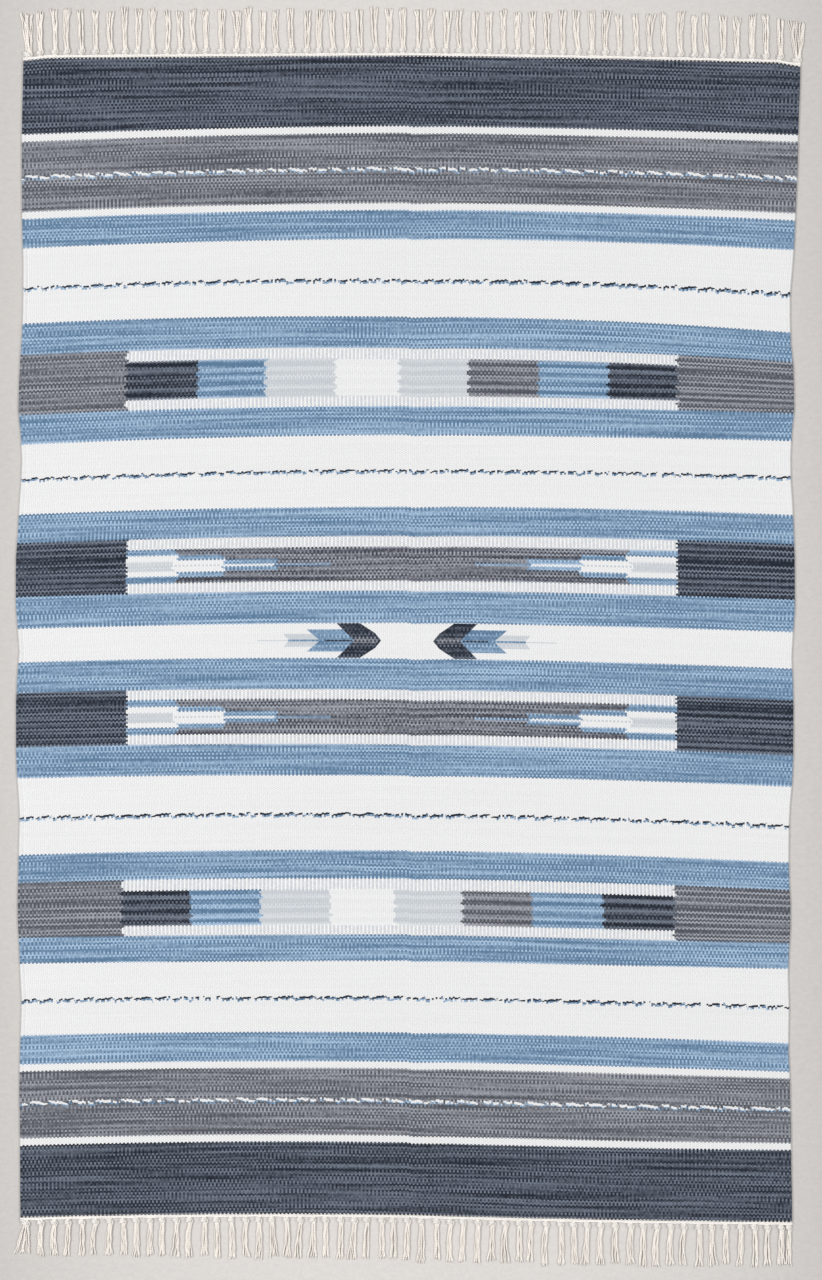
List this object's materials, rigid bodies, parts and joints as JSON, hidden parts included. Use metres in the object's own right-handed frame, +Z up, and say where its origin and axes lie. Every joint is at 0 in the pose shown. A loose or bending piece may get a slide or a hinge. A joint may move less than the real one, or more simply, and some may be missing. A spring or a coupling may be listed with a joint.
{
  "type": "kilim rug",
  "caption": "Flat-woven fringed kilim rug with woven bands in navy, grey, blue and white, toothed blocks, spearheads and arrows, lying flat.",
  "frame": {"origin": "on the floor, under the middle of the whole rug with its fringes", "axes": "+Y along the rug's length to the far end, the end shown at the top of the picture, +X to the right-hand selvedge, +Z up out of the floor"},
  "size_m": [1.2288, 1.9528, 0.0047],
  "materials": {
    "woven_field": "matt weft-faced plain weave in cotton",
    "warp_yarn": "matt undyed cotton yarn"
  },
  "bodies": {
    "root": {"field": "woven_field", "fringe_far_end": "warp_yarn", "fringe_near_end": "warp_yarn"}
  },
  "joints": []
}
